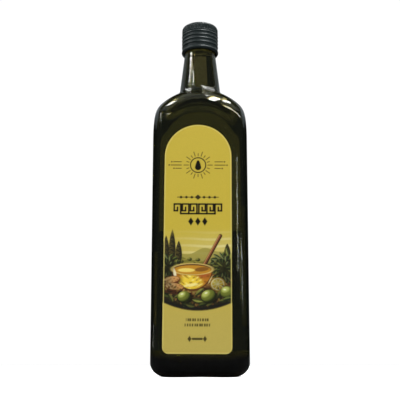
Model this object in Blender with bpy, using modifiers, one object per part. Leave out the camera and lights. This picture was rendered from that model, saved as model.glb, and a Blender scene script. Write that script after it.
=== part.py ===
"""A square one litre olive oil bottle of dark glass with a roll-on screw cap.

The bottle stands on the XY plane with its axis on Z, and its label faces -Y.
Lengths are in metres, and MM turns a size in millimetres into them.
"""
import math

import bmesh
import bpy
from mathutils import Matrix

MM = 0.001
GAP = 0.3 * MM

# Body
BODY_WIDTH = 76.0 * MM
BODY_CORNER = 11.0 * MM
HEEL_RADIUS = 11.0 * MM
BEARING_INSET = 12.0 * MM
BEARING_WIDTH = 2.0 * MM
PUSH_UP = 6.0 * MM

# Shoulder, a dome turned round the axis that cuts the square body off
DOME_START = 169.5 * MM
DOME_RISE = 69.0 * MM
SHOULDER_BLEND = 7.0 * MM
CORNER_REACH = BODY_WIDTH / 2 * math.sqrt(2) - BODY_CORNER * (math.sqrt(2) - 1)
DOME_RADIUS = CORNER_REACH + SHOULDER_BLEND

# Neck
NECK_ROOT = 241.0 * MM
NECK_ROOT_RADIUS = 17.0 * MM
NECK_TOP = 272.0 * MM
NECK_TOP_RADIUS = 13.3 * MM
NECK_FILLET = 8.0 * MM
MOUTH = 296.6 * MM
LIP_ROUND = 1.2 * MM

# Glass wall
WALL = 3.2 * MM
BASE_THICKNESS = 6.0 * MM
INNER_HEEL = 9.0 * MM
INNER_FLOOR = PUSH_UP + BASE_THICKNESS

# Oil
OIL_LEVEL = 273.5 * MM

# Cap and tamper band
CAP_RADIUS = 15.6 * MM
CAP_INNER_RADIUS = 14.6 * MM
CAP_TOP = 298.3 * MM
CAP_TOP_THICKNESS = 1.0 * MM
CAP_EDGE_ROUND = 3.0 * MM
CAP_FOOT = 278.4 * MM
BEAD_HEIGHT = 0.32 * MM
BEAD_SPREAD = 1.0 * MM
BEAD_PITCH = 3.27 * MM
BEAD_TOP = 289.6 * MM
BEAD_COUNT = 4
BEAD_STEPS = 18
KNURL_FOOT = 291.6 * MM
KNURL_TOP = 296.3 * MM
KNURL_COUNT = 60
KNURL_DEPTH = 0.35 * MM
GROOVE_SIZE = 0.9 * MM
BAND_FOOT = 272.9 * MM
BAND_STRAIGHT = 1.5 * MM
BAND_THICKNESS = 1.0 * MM
BAND_FLARE = 0.45 * MM
BAND_CURL = 2.2 * MM
BAND_CURL_TURN = math.radians(65)

# Label
LABEL_WIDTH = 53.2 * MM
LABEL_FOOT = 17.3 * MM
LABEL_TOP = 196.75 * MM
LABEL_CORNER = 5.0 * MM
LABEL_THICKNESS = 0.2 * MM
LABEL_SHIFT = -2.15 * MM
LABEL_TURN = math.radians(0.25)

# Fineness of the meshes
SIDE_STEPS = 8
CORNER_STEPS = 5
CAP_STEPS = 60
ARCH_STEPS = 24
DOME_STEPS = 15
FILLET_STEPS = 6


def make_material(name, colour, roughness, metallic=0.0, transmission=0.0):
    """A plain Principled material."""
    material = bpy.data.materials.new(name)
    material.use_nodes = True
    shader = material.node_tree.nodes["Principled BSDF"]
    shader.inputs["Base Color"].default_value = (*colour, 1.0)
    shader.inputs["Roughness"].default_value = roughness
    shader.inputs["Metallic"].default_value = metallic
    shader.inputs["Transmission Weight"].default_value = transmission
    return material


def smooth_min(first, second, blend):
    """The lower of two lengths, rounded off where they are within blend of each other."""
    near = max(blend - abs(first - second), 0.0)
    return min(first, second) - near * near / (4.0 * blend)


def square_reach(angle, half, corner):
    """How far a rounded square reaches from its centre in one direction."""
    turn = abs((angle + math.pi / 4) % (math.pi / 2) - math.pi / 4)
    centre = half - corner
    if math.tan(turn) * half <= centre:
        return half / math.cos(turn)
    along = centre * (math.cos(turn) + math.sin(turn))
    return along + math.sqrt(along * along - 2.0 * centre * centre + corner * corner)


def dome_reach(height):
    """Radius of the elliptical shoulder dome at a height."""
    rise = max(height - DOME_START, 0.0) / DOME_RISE
    return DOME_RADIUS * math.sqrt(max(1.0 - rise * rise, 0.0))


def neck_reach(height):
    """Radius of the neck, which tapers from its root to its top and then runs straight."""
    share = min(max((height - NECK_ROOT) / (NECK_TOP - NECK_ROOT), -1.0), 1.0)
    return NECK_ROOT_RADIUS + (NECK_TOP_RADIUS - NECK_ROOT_RADIUS) * share


def neck_arc():
    """The hollow arc that touches the dome and the neck: its centre and its end heights."""
    lean = (NECK_ROOT_RADIUS - NECK_TOP_RADIUS) / (NECK_TOP - NECK_ROOT)
    aside = math.hypot(1.0, lean)
    low = 0.0
    high = math.pi / 2
    for halving in range(50):
        turn = (low + high) / 2
        across = math.cos(turn) / DOME_RADIUS
        up = math.sin(turn) / DOME_RISE
        length = math.hypot(across, up)
        radius = DOME_RADIUS * math.cos(turn) + NECK_FILLET * across / length
        height = DOME_START + DOME_RISE * math.sin(turn) + NECK_FILLET * up / length
        if radius > neck_reach(height) + NECK_FILLET * aside:
            low = turn
        else:
            high = turn
    foot = DOME_START + DOME_RISE * math.sin(turn)
    return radius, height, foot, height - NECK_FILLET * lean / aside


ARC_RADIUS, ARC_HEIGHT, ARC_FOOT, ARC_HEAD = neck_arc()


def turned_reach(height):
    """Radius of the shoulder and neck as one turned shape."""
    if ARC_FOOT < height < ARC_HEAD:
        return ARC_RADIUS - math.sqrt(NECK_FILLET ** 2 - (height - ARC_HEIGHT) ** 2)
    return max(dome_reach(height), neck_reach(height))


def body_reach(angle, height, inset=0.0):
    """The bottle's outer skin at an angle and height, or a skin that lies inset inside it."""
    square = square_reach(angle, BODY_WIDTH / 2 - inset, BODY_CORNER - inset)
    return smooth_min(square, turned_reach(height) - inset, SHOULDER_BLEND)


def ring_angles():
    """The directions of one ring's points: each flat side, then each corner arc."""
    half = BODY_WIDTH / 2
    side_end = math.atan2(half - BODY_CORNER, half)
    corner_span = math.pi / 2 - 2 * side_end
    angles = []
    for quarter in range(4):
        middle = quarter * math.pi / 2
        for step in range(SIDE_STEPS):
            angles.append(middle - side_end + 2 * side_end * step / SIDE_STEPS)
        for step in range(CORNER_STEPS):
            angles.append(middle + side_end + corner_span * step / CORNER_STEPS)
    return angles


def skin_ring(height, inset=0.0):
    """Points of one level ring on the bottle's skin."""
    ring = []
    for angle in ring_angles():
        reach = body_reach(angle, height, inset)
        ring.append((reach * math.cos(angle), reach * math.sin(angle), height))
    return ring


def square_ring(half, corner, height):
    """Points of one level ring on a rounded square."""
    ring = []
    for angle in ring_angles():
        reach = square_reach(angle, half, corner)
        ring.append((reach * math.cos(angle), reach * math.sin(angle), height))
    return ring


def round_ring(radius, height):
    """Points of one level circle."""
    return [(radius * math.cos(angle), radius * math.sin(angle), height) for angle in ring_angles()]


def spaced(start, end, steps):
    """Evenly spaced heights from start up to and with end."""
    return [start + (end - start) * step / steps for step in range(steps + 1)]


def quarter_arc(steps):
    """Sine and one minus cosine along a quarter turn, without its first point."""
    arc = []
    for step in range(1, steps + 1):
        turn = math.pi / 2 * step / steps
        arc.append((math.sin(turn), 1.0 - math.cos(turn)))
    return arc


def push_up_rings(half):
    """Rings of the raised base, a shallow dome from the bearing rim to the middle."""
    rings = []
    for share in (0.35, 0.7, 1.0):
        height = PUSH_UP * (1.0 - share * share)
        rings.append(square_ring(half * share, BODY_CORNER * share, height))
    return rings


def loft(name, rings, start_tip, end_tip, material):
    """One closed body through rings of like count, with a point at each end."""
    work = bmesh.new()
    rows = [[work.verts.new(point) for point in ring] for ring in rings]
    count = len(rows[0])
    for lower, upper in zip(rows, rows[1:]):
        for index in range(count):
            after = (index + 1) % count
            work.faces.new((lower[index], lower[after], upper[after], upper[index]))
    start = work.verts.new(start_tip)
    end = work.verts.new(end_tip)
    for index in range(count):
        after = (index + 1) % count
        work.faces.new((start, rows[0][after], rows[0][index]))
        work.faces.new((end, rows[-1][index], rows[-1][after]))
    bmesh.ops.recalc_face_normals(work, faces=work.faces)
    mesh = bpy.data.meshes.new(name)
    work.to_mesh(mesh)
    work.free()
    mesh.shade_smooth()
    mesh.set_sharp_from_angle(angle=math.radians(40))
    mesh.materials.append(material)
    return bpy.data.objects.new(name, mesh)


def shoulder_heights():
    """Heights of the shoulder's rings, at even turns along the dome's ellipse."""
    turns = spaced(0.0, math.asin((ARC_FOOT - DOME_START) / DOME_RISE), DOME_STEPS)[1:]
    return [DOME_START + DOME_RISE * math.sin(turn) for turn in turns]


def fillet_heights():
    """Heights of the rings of the rounding under the neck, at even turns along its arc."""
    first = math.asin((ARC_HEIGHT - ARC_FOOT) / NECK_FILLET)
    last = math.asin((ARC_HEIGHT - ARC_HEAD) / NECK_FILLET)
    return [ARC_HEIGHT - NECK_FILLET * math.sin(turn) for turn in spaced(first, last, FILLET_STEPS)[1:]]


def outer_rings():
    """The outside of the glass, from the push-up over the heel and shoulder to the mouth."""
    rim = BODY_WIDTH / 2 - BEARING_INSET
    rings = push_up_rings(rim - BEARING_WIDTH)
    rings.append(square_ring(rim, BODY_CORNER, 0.0))
    for across, up in quarter_arc(6):
        reach = rim + BEARING_INSET * across
        rings.append(square_ring(reach, BODY_CORNER, HEEL_RADIUS * up))
    heights = [DOME_START] + shoulder_heights() + fillet_heights()
    heights += [(ARC_HEAD + NECK_TOP) / 2, NECK_TOP, MOUTH - LIP_ROUND]
    rings += [skin_ring(height) for height in heights]
    for across, up in quarter_arc(3):
        rings.append(round_ring(NECK_TOP_RADIUS - LIP_ROUND * up, MOUTH - LIP_ROUND * (1.0 - across)))
    return rings


def inner_rings(top, inset, floor):
    """A skin inset into the bottle, from its top down to its floor."""
    half = BODY_WIDTH / 2 - inset
    corner = BODY_CORNER - inset
    heights = [floor + INNER_HEEL, DOME_START] + shoulder_heights()[1::2]
    heights += fillet_heights()[1::2] + [NECK_TOP - 1.0 * MM, top]
    rings = [skin_ring(height, inset) for height in reversed(heights)]
    for across, up in quarter_arc(4):
        reach = half - INNER_HEEL * up
        rings.append(square_ring(reach, corner, floor + INNER_HEEL * (1.0 - across)))
    return rings


def make_bottle(material):
    """The glass: outer skin, round lip, inner skin and floor as one body."""
    rings = outer_rings()
    rings += inner_rings(MOUTH, WALL, INNER_FLOOR)
    return loft("glass_bottle", rings, (0.0, 0.0, PUSH_UP), (0.0, 0.0, INNER_FLOOR), material)


def make_oil(material):
    """The oil, a gap clear of the glass, up to its level in the neck."""
    floor = INNER_FLOOR + GAP
    rings = inner_rings(OIL_LEVEL, WALL + GAP, floor)
    return loft("olive_oil", rings, (0.0, 0.0, OIL_LEVEL), (0.0, 0.0, floor), material)


def turned(name, profile, closed, material):
    """A profile of radius and height pairs, turned round the axis into one body."""
    mesh = bpy.data.meshes.new(name)
    points = [(radius, 0.0, height) for radius, height in profile]
    edges = [(index, index + 1) for index in range(len(points) - 1)]
    if closed:
        edges.append((len(points) - 1, 0))
    mesh.from_pydata(points, edges, [])
    mesh.materials.append(material)
    piece = bpy.data.objects.new(name, mesh)
    screw = piece.modifiers.new("turn", "SCREW")
    screw.steps = CAP_STEPS
    screw.render_steps = CAP_STEPS
    screw.use_merge_vertices = True
    screw.merge_threshold = 0.00001
    return piece


def bead_swell(height):
    """How far the rolled beads stand out of the cap at a height."""
    swell = 0.0
    for bead in range(BEAD_COUNT):
        away = (height - (BEAD_TOP - bead * BEAD_PITCH)) / BEAD_SPREAD
        if abs(away) < 1.0:
            swell += BEAD_HEIGHT * (1.0 + math.cos(math.pi * away)) / 2
    return swell


def cap_profile():
    """The cap's section: from the top's middle down the outside, then up the inside."""
    flat_top = CAP_RADIUS - CAP_EDGE_ROUND
    profile = [(0.0, CAP_TOP), (flat_top, CAP_TOP)]
    for across, down in quarter_arc(4):
        profile.append((flat_top + CAP_EDGE_ROUND * across, CAP_TOP - CAP_EDGE_ROUND * down))
    skirt = CAP_RADIUS - BEAD_HEIGHT / 2
    profile += [(CAP_RADIUS, KNURL_FOOT - 0.3 * MM), (skirt, KNURL_FOOT - 0.7 * MM)]
    rows = spaced(BEAD_TOP + BEAD_SPREAD, CAP_FOOT, BEAD_STEPS)
    profile += [(skirt + bead_swell(height), height) for height in rows]
    inner_top = CAP_TOP - CAP_TOP_THICKNESS
    slant = CAP_EDGE_ROUND - CAP_TOP_THICKNESS
    profile += [(CAP_INNER_RADIUS, CAP_FOOT), (CAP_INNER_RADIUS, inner_top - slant)]
    profile += [(CAP_INNER_RADIUS - slant, inner_top), (0.0, inner_top)]
    return profile


def make_knurl_cutter():
    """A ring of upright four-sided bars whose inner edges cut the knurl's grooves."""
    work = bmesh.new()
    for index in range(KNURL_COUNT):
        angle = 2 * math.pi * (index + 0.5) / KNURL_COUNT
        made = bmesh.ops.create_cone(
            work, cap_ends=True, segments=4, radius1=GROOVE_SIZE, radius2=GROOVE_SIZE,
            depth=KNURL_TOP - KNURL_FOOT)
        reach = CAP_RADIUS + GROOVE_SIZE - KNURL_DEPTH
        place = (reach * math.cos(angle), reach * math.sin(angle), (KNURL_FOOT + KNURL_TOP) / 2)
        turn = Matrix.Rotation(angle, 3, "Z")
        bmesh.ops.rotate(work, verts=made["verts"], cent=(0.0, 0.0, 0.0), matrix=turn)
        bmesh.ops.translate(work, verts=made["verts"], vec=place)
    mesh = bpy.data.meshes.new("knurl_cutter")
    work.to_mesh(mesh)
    work.free()
    cutter = bpy.data.objects.new("knurl_cutter", mesh)
    cutter.hide_render = True
    cutter.display_type = "WIRE"
    return cutter


def make_cap(material, cutter):
    """The screw cap, a shell shut at the top, with rolled beads and a knurled band."""
    cap = turned("screw_cap", cap_profile(), False, material)
    cut = cap.modifiers.new("knurl", "BOOLEAN")
    cut.operation = "DIFFERENCE"
    cut.object = cutter
    return cap


def arc_points(centre, radius, start, end, steps):
    """Points along an arc, with both its ends."""
    return [(centre[0] + radius * math.cos(turn), centre[1] + radius * math.sin(turn))
            for turn in spaced(start, end, steps)]


def make_band(material):
    """The tamper band below the cap, which flares a little and rolls in under its foot."""
    top = CAP_FOOT - GAP
    straight_end = top - BAND_STRAIGHT
    outer = CAP_RADIUS - BEAD_HEIGHT / 2
    centre = (outer + BAND_FLARE - BAND_CURL, BAND_FOOT + BAND_CURL)
    profile = [(outer, top), (outer, straight_end)]
    profile += arc_points(centre, BAND_CURL, 0.0, -BAND_CURL_TURN, 4)
    profile += arc_points(centre, BAND_CURL - BAND_THICKNESS, -BAND_CURL_TURN, 0.0, 3)
    profile += [(CAP_INNER_RADIUS, straight_end), (CAP_INNER_RADIUS, top)]
    return turned("tamper_band", profile, True, material)


def make_label(material):
    """The front label: a flat sheet with a round arched top and small round foot corners."""
    half = LABEL_WIDTH / 2
    side = half - LABEL_CORNER
    low = LABEL_FOOT + LABEL_CORNER
    outline = arc_points((0.0, LABEL_TOP - half), half, 0.0, math.pi, ARCH_STEPS)
    outline += arc_points((-side, low), LABEL_CORNER, math.pi, 1.5 * math.pi, CORNER_STEPS)
    outline += arc_points((side, low), LABEL_CORNER, 1.5 * math.pi, 2 * math.pi, CORNER_STEPS)
    curve = bpy.data.curves.new("front_label", "CURVE")
    curve.dimensions = "2D"
    curve.fill_mode = "BOTH"
    curve.extrude = LABEL_THICKNESS / 2
    spline = curve.splines.new("POLY")
    spline.points.add(len(outline) - 1)
    for point, (across, up) in zip(spline.points, outline):
        point.co = (across, up, 0.0, 1.0)
    spline.use_cyclic_u = True
    curve.materials.append(material)
    label = bpy.data.objects.new("front_label", curve)
    label.location = (LABEL_SHIFT, -(BODY_WIDTH / 2 + GAP + LABEL_THICKNESS / 2), 0.0)
    label.rotation_euler = (math.pi / 2, LABEL_TURN, 0.0)
    return label


def new_collection(name):
    """A collection linked to the scene."""
    collection = bpy.data.collections.new(name)
    bpy.context.scene.collection.children.link(collection)
    return collection


def main():
    """Clears the scene, then makes each piece and puts it in its collection."""
    for leftover in list(bpy.data.objects):
        bpy.data.objects.remove(leftover, do_unlink=True)
    dark_glass = make_material("dark_glass", (0.03, 0.035, 0.01), 0.05, transmission=0.6)
    oil = make_material("oil", (0.30, 0.22, 0.03), 0.1)
    black_lacquer = make_material("black_lacquer", (0.03, 0.035, 0.033), 0.35, metallic=0.6)
    label_paper = make_material("label_paper", (0.56, 0.44, 0.06), 0.5)
    cutters = new_collection("cutters")
    cutter = make_knurl_cutter()
    cutters.objects.link(cutter)
    bottle = new_collection("olive_oil_bottle")
    pieces = [make_bottle(dark_glass), make_oil(oil), make_cap(black_lacquer, cutter)]
    pieces += [make_band(black_lacquer), make_label(label_paper)]
    for piece in pieces:
        bottle.objects.link(piece)


main()
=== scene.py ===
"""Looks for the olive oil bottle: dark glass, oil, lacquered cap and a printed label.

Everything is in metres in the CAD frame: +Z up, the label faces -Y, and the base stands on z = 0.
"""
import math

import bpy
import numpy as np
from mathutils import Matrix, Vector


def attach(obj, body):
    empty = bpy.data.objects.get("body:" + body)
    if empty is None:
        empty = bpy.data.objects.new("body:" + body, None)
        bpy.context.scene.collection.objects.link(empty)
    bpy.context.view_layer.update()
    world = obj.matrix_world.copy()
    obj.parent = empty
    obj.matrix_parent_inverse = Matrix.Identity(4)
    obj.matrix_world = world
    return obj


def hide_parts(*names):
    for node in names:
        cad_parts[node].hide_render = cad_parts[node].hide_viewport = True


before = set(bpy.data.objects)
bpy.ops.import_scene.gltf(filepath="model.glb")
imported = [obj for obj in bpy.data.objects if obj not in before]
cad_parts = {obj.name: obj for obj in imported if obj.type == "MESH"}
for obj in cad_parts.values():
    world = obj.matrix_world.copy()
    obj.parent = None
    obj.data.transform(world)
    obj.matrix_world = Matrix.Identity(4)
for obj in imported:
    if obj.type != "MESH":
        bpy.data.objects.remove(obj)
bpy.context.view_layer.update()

MM = 0.001

# Bottle sizes, as the CAD has them
BODY_HALF = 38.0 * MM
BODY_CORNER = 11.0 * MM
HEEL_RADIUS = 11.0 * MM
BEARING_INSET = 12.0 * MM
BEARING_WIDTH = 2.0 * MM
PUSH_UP = 6.0 * MM
DOME_START = 169.5 * MM
DOME_RISE = 69.0 * MM
SHOULDER_BLEND = 7.0 * MM
CORNER_REACH = BODY_HALF * math.sqrt(2) - BODY_CORNER * (math.sqrt(2) - 1)
DOME_RADIUS = CORNER_REACH + SHOULDER_BLEND
NECK_ROOT = 241.0 * MM
NECK_ROOT_RADIUS = 17.0 * MM
NECK_TOP = 272.0 * MM
NECK_TOP_RADIUS = 13.3 * MM
NECK_FILLET = 8.0 * MM
MOUTH = 296.6 * MM
LIP_ROUND = 1.2 * MM
WALL = 3.2 * MM
INNER_HEEL = 9.0 * MM
INNER_FLOOR = 12.0 * MM
WALL_RINGS = (60.0 * MM, 120.0 * MM)
FOOT_RIBS = 60
FOOT_RIB_DEPTH = 0.55 * MM
FOOT_RIB_HEIGHT = 3.5 * MM
POINTS_PER_RIB = 6
# What two walls let through of red, green and blue
GLASS_THROUGH = (0.37, 0.31, 0.13)

# Oil
OIL_LEVEL = 273.5 * MM
OIL_INTO_WALL = 0.15 * MM
MENISCUS = 0.9 * MM
MENISCUS_REACH = 1.2 * MM
# What this depth of oil lets through of red, green and blue
OIL_DEPTH = 49.0 * MM
OIL_THROUGH = (0.50, 0.52, 0.34)

# Cap and band
CAP_RADIUS = 15.6 * MM
CAP_INNER_RADIUS = 14.6 * MM
CAP_TOP = 298.3 * MM
CAP_TOP_THICKNESS = 1.0 * MM
CAP_EDGE_ROUND = 3.0 * MM
CAP_FOOT = 278.4 * MM
BEAD_HEIGHT = 0.32 * MM
BEAD_SPREAD = 1.0 * MM
BEAD_PITCH = 3.27 * MM
BEAD_TOP = 289.6 * MM
BEAD_COUNT = 4
KNURL_FOOT = 291.6 * MM
KNURL_TOP = 296.3 * MM
KNURL_COUNT = 60
KNURL_DEPTH = 0.35 * MM
POINTS_PER_GROOVE = 8
BAND_TOP = 278.1 * MM
BAND_FOOT = 272.9 * MM
BAND_STRAIGHT = 1.5 * MM
BAND_THICKNESS = 1.0 * MM
BAND_FLARE = 0.45 * MM
BAND_CURL = 2.2 * MM
BAND_CURL_TURN = math.radians(65)
BAND_NOTCHES = 24
BAND_NOTCH_DEPTH = 0.16 * MM
BAND_POINTS = 480
SHARP_ANGLE = math.radians(50)

# Label
LABEL_HALF = 26.35 * MM
LABEL_FOOT = 17.3 * MM
LABEL_TOP = 196.75 * MM
LABEL_CORNER = 5.0 * MM
LABEL_BACK = 38.04 * MM
LABEL_FRONT = 38.45 * MM
LABEL_SHIFT = -2.2 * MM
LABEL_TURN = math.radians(0.25)

# Camera and room
CAMERA_BACK = 590.0 * MM
CAMERA_HEIGHT = 10.18 * MM
CAMERA_PITCH = math.radians(11.91)
FOCAL_PIXELS = 724.32
IMAGE_PIXELS = 400.0
OPTICAL_ROW = 210.96
WHITE = (1.0, 1.0, 1.0)
ROOM_TINT = (0.82, 1.0, 0.95)
ROOM_FRONT = 0.12
ROOM_BEHIND = 0.015
BACKDROP_WHITE = 1.02
FLOOR_REACH = 6.0
FLOOR_DROP = 0.05 * MM
FLOOR_WHITE = 0.9
FLOOR_GLOW = 0.75
# How far behind the bottle, and how pale the floor is there as seen in the glass. The dark stretch from
# 0.54 to 0.66 is a painted shadow: seen through the neck below the cap, it stands in for the cap's shade
FLOOR_TONES_AND_SHADE_STRIP = ((0.2, 0.07), (0.32, 0.12), (0.5, 0.12), (0.54, 0.02), (0.66, 0.02), (0.7, 0.12))


def srgb(red, green, blue):
    """Linear colour for an 8-bit screen colour."""
    share = np.array([red, green, blue], float) / 255.0
    return np.where(share <= 0.04045, share / 12.92, ((share + 0.055) / 1.055) ** 2.4)


# Shapes

def smooth_min(first, second, blend):
    """The lower of two lengths, less a parabola where they are within blend of each other."""
    near = np.maximum(blend - np.abs(first - second), 0.0)
    return np.minimum(first, second) - near * near / (4.0 * blend)


def smooth_step(low, high, value):
    """Rises from 0 to 1 between low and high, flat at both ends."""
    share = np.clip((value - low) / (high - low), 0.0, 1.0)
    return share * share * (3.0 - 2.0 * share)


def square_reach(angle, half, corner):
    """Reach of a rounded square: half over cosine on a side, and the corner circle's far root."""
    turn = np.abs((angle + math.pi / 4) % (math.pi / 2) - math.pi / 4)
    centre = half - corner
    along = centre * (np.cos(turn) + np.sin(turn))
    round_part = along + np.sqrt(np.maximum(along * along - 2 * centre * centre + corner * corner, 0.0))
    return np.where(np.tan(turn) * half <= centre, half / np.cos(turn), round_part)


def neck_reach(height):
    """Radius of the neck: a straight taper from root to top, level beyond them."""
    share = np.clip((height - NECK_ROOT) / (NECK_TOP - NECK_ROOT), -1.0, 1.0)
    return NECK_ROOT_RADIUS + (NECK_TOP_RADIUS - NECK_ROOT_RADIUS) * share


def neck_arc():
    """The arc that touches the dome's ellipse and the neck's line: centre and end heights.

    The centre lies the arc's radius out along the ellipse's normal. Of all the turns along the
    ellipse, the one is kept where that centre is also the same distance from the neck's line.
    """
    lean = (NECK_ROOT_RADIUS - NECK_TOP_RADIUS) / (NECK_TOP - NECK_ROOT)
    turn = np.linspace(0.5, math.pi / 2, 200001)
    across = np.cos(turn) / DOME_RADIUS
    up = np.sin(turn) / DOME_RISE
    length = np.hypot(across, up)
    radius = DOME_RADIUS * np.cos(turn) + NECK_FILLET * across / length
    height = DOME_START + DOME_RISE * np.sin(turn) + NECK_FILLET * up / length
    best = np.argmin(np.abs(radius - neck_reach(height) - NECK_FILLET * math.hypot(1.0, lean)))
    foot = DOME_START + DOME_RISE * math.sin(turn[best])
    head = height[best] - NECK_FILLET * lean / math.hypot(1.0, lean)
    return radius[best], height[best], foot, head


ARC_RADIUS, ARC_HEIGHT, ARC_FOOT, ARC_HEAD = neck_arc()


def turned_reach(height):
    """Radius of shoulder and neck: an ellipse's quarter, a hollow arc, and a tapering neck."""
    rise = np.clip((height - DOME_START) / DOME_RISE, 0.0, 1.0)
    dome = DOME_RADIUS * np.sqrt(1.0 - rise * rise)
    hollow = ARC_RADIUS - np.sqrt(np.maximum(NECK_FILLET ** 2 - (height - ARC_HEIGHT) ** 2, 0.0))
    in_arc = (height > ARC_FOOT) & (height < ARC_HEAD)
    return np.where(in_arc, hollow, np.maximum(dome, neck_reach(height)))


def body_reach(angle, height, inset=0.0):
    """The rounded square, trimmed by the turned shoulder and neck, all drawn in by inset."""
    square = square_reach(angle, BODY_HALF - inset, BODY_CORNER - inset)
    return smooth_min(square, turned_reach(height) - inset, SHOULDER_BLEND)


def even_angles(count):
    """Directions whose points on the body's outline are evenly spaced along it."""
    fine = np.linspace(0.0, 2 * math.pi, 8001)
    reach = square_reach(fine, BODY_HALF, BODY_CORNER)
    step = np.hypot(np.diff(reach * np.cos(fine)), np.diff(reach * np.sin(fine)))
    length = np.concatenate([[0.0], np.cumsum(step)])
    return np.interp(np.arange(count) / count * length[-1], length, fine)


def rings_to_points(angles, reaches, heights):
    """Points of stacked rings: one row a ring, whose height or reach may be one for all angles."""
    across, along = reaches * np.cos(angles), reaches * np.sin(angles)
    return np.stack(np.broadcast_arrays(across, along, heights), axis=-1)


def skin_rings(angles, heights, inset=0.0):
    """Rings on the bottle's skin, or inset inside it, at each of the heights."""
    rows = np.asarray(heights)[:, None]
    return rings_to_points(angles, body_reach(angles[None, :], rows, inset), rows)


def square_rings(angles, halves, corners, heights):
    """Rings of rounded squares, each with its own half width, corner and height."""
    reach = square_reach(angles[None, :], halves[:, None], corners[:, None])
    return rings_to_points(angles, reach, heights[:, None])


def shoulder_heights(steps, arc_steps):
    """Heights at even turns along the shoulder's ellipse, then along the hollow arc above it."""
    turns = np.linspace(0.0, math.asin((ARC_FOOT - DOME_START) / DOME_RISE), steps + 1)[1:]
    first = math.asin((ARC_HEIGHT - ARC_FOOT) / NECK_FILLET)
    last = math.asin((ARC_HEIGHT - ARC_HEAD) / NECK_FILLET)
    arc = np.linspace(first, last, arc_steps + 1)[1:]
    return np.concatenate([DOME_START + DOME_RISE * np.sin(turns), ARC_HEIGHT - NECK_FILLET * np.sin(arc)])


def new_piece(name, points, faces, smooth=True):
    """A piece in the scene, with its place in its mesh and its object at the origin."""
    mesh = bpy.data.meshes.new(name)
    mesh.from_pydata(points.tolist(), [], faces)
    mesh.update()
    if smooth:
        mesh.shade_smooth()
    piece = bpy.data.objects.new(name, mesh)
    bpy.context.scene.collection.objects.link(piece)
    return piece


def closed_rings(name, rings, start_tip, end_tip):
    """A closed mesh: quads between rings of like count, and a fan of triangles at each end."""
    rows, count = rings.shape[:2]
    points = np.concatenate([rings.reshape(-1, 3), [start_tip, end_tip]])
    index = np.arange(rows * count).reshape(rows, count)
    after = np.roll(index, -1, axis=1)
    quads = np.stack([index[:-1], after[:-1], after[1:], index[1:]], axis=-1).reshape(-1, 4)
    first = np.full(count, rows * count)
    fans = np.concatenate([
        np.stack([first, after[0], index[0]], axis=-1),
        np.stack([first + 1, index[-1], after[-1]], axis=-1),
    ])
    return new_piece(name, points, quads.tolist() + fans.tolist())


def wrapped_rings(name, rings):
    """A closed mesh of a ring-shaped body, whose last ring joins its first."""
    rows, count = rings.shape[:2]
    index = np.arange(rows * count).reshape(rows, count)
    after = np.roll(index, -1, axis=1)
    quads = np.stack([index, after, np.roll(after, -1, axis=0), np.roll(index, -1, axis=0)], axis=-1)
    return new_piece(name, rings.reshape(-1, 3), quads.reshape(-1, 4).tolist())


def base_rings(angles, inner_edge, rim):
    """The raised base, the ribbed bearing rim and the heel's quarter round.

    Each rib is a cosine along the rim, whose crests touch the floor and whose depth fades
    up the heel and into the raised base.
    """
    shares = np.linspace(0.04, 1.0, 16)
    arc = np.linspace(0.0, math.pi / 2, 26)
    halves = np.concatenate([
        inner_edge * shares, [(inner_edge + rim) / 2], rim + BEARING_INSET * np.sin(arc)])
    corners = np.concatenate([BODY_CORNER * shares, np.full(1 + len(arc), BODY_CORNER)])
    heights = np.concatenate([PUSH_UP * (1 - shares ** 2), [0.0], HEEL_RADIUS * (1 - np.cos(arc))])
    rings = square_rings(angles, halves, corners, heights)
    crest = 0.5 + 0.5 * np.cos(2 * math.pi * FOOT_RIBS * np.arange(len(angles)) / len(angles))
    weight = 1.0 - smooth_step(0.3 * FOOT_RIB_HEIGHT, FOOT_RIB_HEIGHT, heights)
    rings[:, :, 2] += FOOT_RIB_DEPTH * weight[:, None] * (1.0 - crest[None, :])
    return rings


def inner_rings(angles, inset, floor, top):
    """An inner skin from its top ring down its walls and round its heel to the floor."""
    heights = np.concatenate([
        [floor + INNER_HEEL, *WALL_RINGS, DOME_START], shoulder_heights(40, 12),
        np.linspace(ARC_HEAD, NECK_TOP, 8)[1:], [top]])[::-1]
    arc = np.linspace(0.0, math.pi / 2, 14)[1:]
    half = BODY_HALF - inset
    corner = BODY_CORNER - inset
    heel = square_rings(
        angles, half - INNER_HEEL * (1 - np.cos(arc)), np.full(len(arc), corner),
        floor + INNER_HEEL * (1 - np.sin(arc)))
    return np.concatenate([skin_rings(angles, heights, inset), heel])


def make_glass():
    """The bottle: ribbed foot, square body, domed shoulder, neck, round lip and inner skin."""
    angles = even_angles(FOOT_RIBS * POINTS_PER_RIB)
    rim = BODY_HALF - BEARING_INSET
    outside = np.concatenate([
        np.linspace(HEEL_RADIUS, DOME_START, 10)[1:], shoulder_heights(60, 20),
        np.linspace(ARC_HEAD, NECK_TOP, 10)[1:], [MOUTH - LIP_ROUND]])
    arc = np.linspace(0.0, math.pi / 2, 7)[1:]
    lip_reach = NECK_TOP_RADIUS - LIP_ROUND * (1 - np.cos(arc))
    lip_height = MOUTH - LIP_ROUND * (1 - np.sin(arc))
    lip = rings_to_points(angles, lip_reach[:, None], lip_height[:, None])
    rings = np.concatenate([
        base_rings(angles, rim - BEARING_WIDTH, rim), skin_rings(angles, outside), lip,
        inner_rings(angles, WALL, INNER_FLOOR, MOUTH)])
    return closed_rings("glass_skin", rings, (0.0, 0.0, PUSH_UP), (0.0, 0.0, INNER_FLOOR))


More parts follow.
